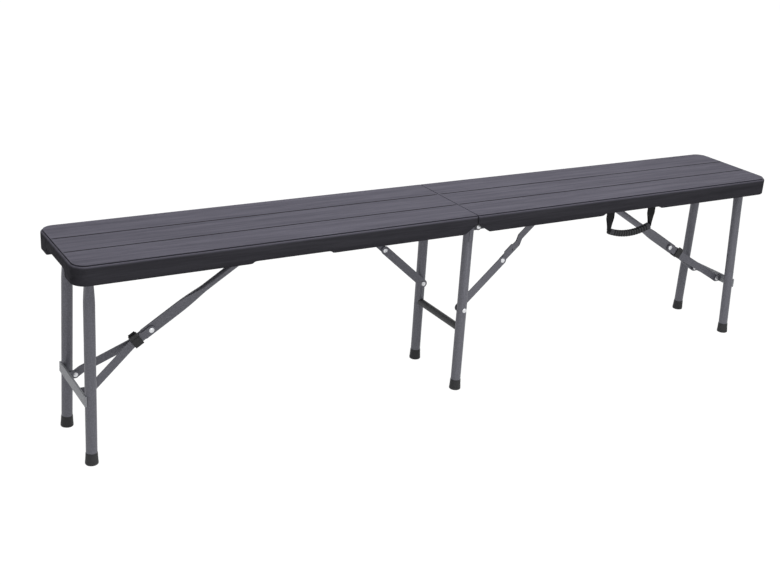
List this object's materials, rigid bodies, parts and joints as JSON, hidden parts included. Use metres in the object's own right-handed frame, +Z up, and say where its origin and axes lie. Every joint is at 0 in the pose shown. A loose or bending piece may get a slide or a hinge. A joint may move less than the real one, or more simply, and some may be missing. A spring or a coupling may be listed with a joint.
{
  "type": "folding bench",
  "caption": "Folding bench with a moulded plank-top seat in halves, a hinged steel centre frame, folding end legs with locking braces, and a webbing carry handle.",
  "frame": {"origin": "on the floor, below the middle of the open seat", "axes": "+X along the bench to the half that carries the handle, +Y to the rear side, +Z up"},
  "size_m": [1.8, 0.254, 0.438],
  "materials": {
    "seat_plastic": "embossed wood grain, dark grey",
    "grey_paint": "hammered grey powder coat",
    "light_paint": "grey powder coat",
    "dark_paint": "dark grey powder coat",
    "zinc": "bright zinc plate",
    "black_plastic": "matte black",
    "webbing": "black webbing",
    "grip_rubber": "ribbed black"
  },
  "bodies": {
    "centre_frame": {"centre_leg_front": "grey_paint", "centre_leg_rear": "grey_paint", "centre_crossbar": "dark_paint", "hinge_plate_front": "grey_paint", "hinge_plate_rear": "grey_paint", "hinge_rivets": "zinc", "leg_rivets": "zinc", "foot_caps_centre": "black_plastic"},
    "left_half": {"seat_left": "seat_plastic", "rail_left_front": "dark_paint", "rail_left_rear": "dark_paint", "rail_screws_left": "zinc", "axle_bushes_left": "black_plastic", "brace_anchor_left": "dark_paint", "anchor_pin_left": "zinc", "link_pin_left": "zinc"},
    "left_leg": {"leg_left_front": "grey_paint", "leg_left_rear": "grey_paint", "axle_left": "zinc", "crossbar_left": "light_paint", "fork_brackets_left": "grey_paint", "fork_pins_left": "zinc", "foot_caps_left": "black_plastic"},
    "left_fork": {"fork_left": "grey_paint", "knuckle_rivet_left": "zinc", "lock_sleeves_left": "black_plastic"},
    "left_brace": {"brace_tube_left": "grey_paint"},
    "left_lock": {"lock_slider_left": "black_plastic"},
    "left_lower_link": {"lower_link_left": "grey_paint", "lower_rivet_left": "zinc"},
    "left_upper_link": {"upper_link_left": "grey_paint", "upper_rivet_left": "zinc"},
    "right_half": {"seat_right": "seat_plastic", "rail_right_front": "dark_paint", "rail_right_rear": "dark_paint", "rail_screws_right": "zinc", "axle_bushes_right": "black_plastic", "brace_anchor_right": "dark_paint", "anchor_pin_right": "zinc", "link_pin_right": "zinc", "handle_screws": "zinc", "handle_tabs": "webbing"},
    "right_leg": {"leg_right_front": "grey_paint", "leg_right_rear": "grey_paint", "axle_right": "zinc", "crossbar_right": "light_paint", "fork_brackets_right": "grey_paint", "fork_pins_right": "zinc", "foot_caps_right": "black_plastic"},
    "right_fork": {"fork_right": "grey_paint", "knuckle_rivet_right": "zinc", "lock_sleeves_right": "black_plastic"},
    "right_brace": {"brace_tube_right": "grey_paint"},
    "right_lock": {"lock_slider_right": "black_plastic"},
    "right_lower_link": {"lower_link_right": "grey_paint", "lower_rivet_right": "zinc"},
    "right_upper_link": {"upper_link_right": "grey_paint", "upper_rivet_right": "zinc"},
    "handle": {"handle_straps": "webbing", "handle_grip": "grip_rubber"}
  },
  "joints": [
    {"name": "left_half_fold", "type": "hinge", "parent": "centre_frame", "child": "left_half", "pos_m": [-0.015, 0, 0.405], "axis": [0, -1, 0], "range_deg": [0, 90]},
    {"name": "left_leg_fold", "type": "hinge", "parent": "left_half", "child": "left_leg", "pos_m": [-0.856, 0, 0.409], "axis": [0, -1, 0], "range_deg": [0, 91.68]},
    {"name": "left_fork_fold", "type": "hinge", "parent": "left_leg", "child": "left_fork", "pos_m": [-0.85892, 0, 0.13897], "axis": [0, -1, 0], "range_deg": [0, 58.01]},
    {"name": "left_brace_fold", "type": "hinge", "parent": "left_half", "child": "left_brace", "pos_m": [-0.433, 0, 0.408], "axis": [0, 1, 0], "range_deg": [0, 32.28]},
    {"name": "left_lower_link_fold", "type": "hinge", "parent": "centre_frame", "child": "left_lower_link", "pos_m": [0, 0, 0.202], "axis": [0, 1, 0], "range_deg": [0, 39.55]},
    {"name": "left_upper_link_fold", "type": "hinge", "parent": "left_half", "child": "left_upper_link", "pos_m": [-0.23736, 0, 0.413], "axis": [0, -1, 0], "range_deg": [0, 41.64]},
    {"name": "left_lock_slide", "type": "slide", "parent": "left_brace", "child": "left_lock", "axis": [0.8455, 0, 0.534], "range_m": [0, 0.006]},
    {"name": "right_half_fold", "type": "hinge", "parent": "centre_frame", "child": "right_half", "pos_m": [0.015, 0, 0.405], "axis": [0, 1, 0], "range_deg": [0, 90]},
    {"name": "right_leg_fold", "type": "hinge", "parent": "right_half", "child": "right_leg", "pos_m": [0.856, 0, 0.409], "axis": [0, 1, 0], "range_deg": [0, 91.68]},
    {"name": "right_fork_fold", "type": "hinge", "parent": "right_leg", "child": "right_fork", "pos_m": [0.85892, 0, 0.13897], "axis": [0, 1, 0], "range_deg": [0, 58.01]},
    {"name": "right_brace_fold", "type": "hinge", "parent": "right_half", "child": "right_brace", "pos_m": [0.433, 0, 0.408], "axis": [0, -1, 0], "range_deg": [0, 32.28]},
    {"name": "right_lower_link_fold", "type": "hinge", "parent": "centre_frame", "child": "right_lower_link", "pos_m": [0, 0, 0.202], "axis": [0, -1, 0], "range_deg": [0, 39.55]},
    {"name": "right_upper_link_fold", "type": "hinge", "parent": "right_half", "child": "right_upper_link", "pos_m": [0.23736, 0, 0.413], "axis": [0, 1, 0], "range_deg": [0, 41.64]},
    {"name": "right_lock_slide", "type": "slide", "parent": "right_brace", "child": "right_lock", "axis": [-0.8455, 0, 0.534], "range_m": [0, 0.006]},
    {"name": "handle_swing", "type": "hinge", "parent": "right_half", "child": "handle", "pos_m": [0.457, -0.11285, 0.40025], "axis": [-1, 0, 0], "range_deg": [-35, 90]}
  ],
  "couplings": [
    {"joint": "left_fork_fold", "follows": "left_leg_fold", "ratio": 0.63264},
    {"joint": "left_brace_fold", "follows": "left_leg_fold", "ratio": 0.35207},
    {"joint": "left_lower_link_fold", "follows": "left_half_fold", "ratio": 0.43938},
    {"joint": "left_upper_link_fold", "follows": "left_half_fold", "ratio": 0.46262},
    {"joint": "right_fork_fold", "follows": "right_leg_fold", "ratio": 0.63264},
    {"joint": "right_brace_fold", "follows": "right_leg_fold", "ratio": 0.35207},
    {"joint": "right_lower_link_fold", "follows": "right_half_fold", "ratio": 0.43938},
    {"joint": "right_upper_link_fold", "follows": "right_half_fold", "ratio": 0.46262}
  ]
}
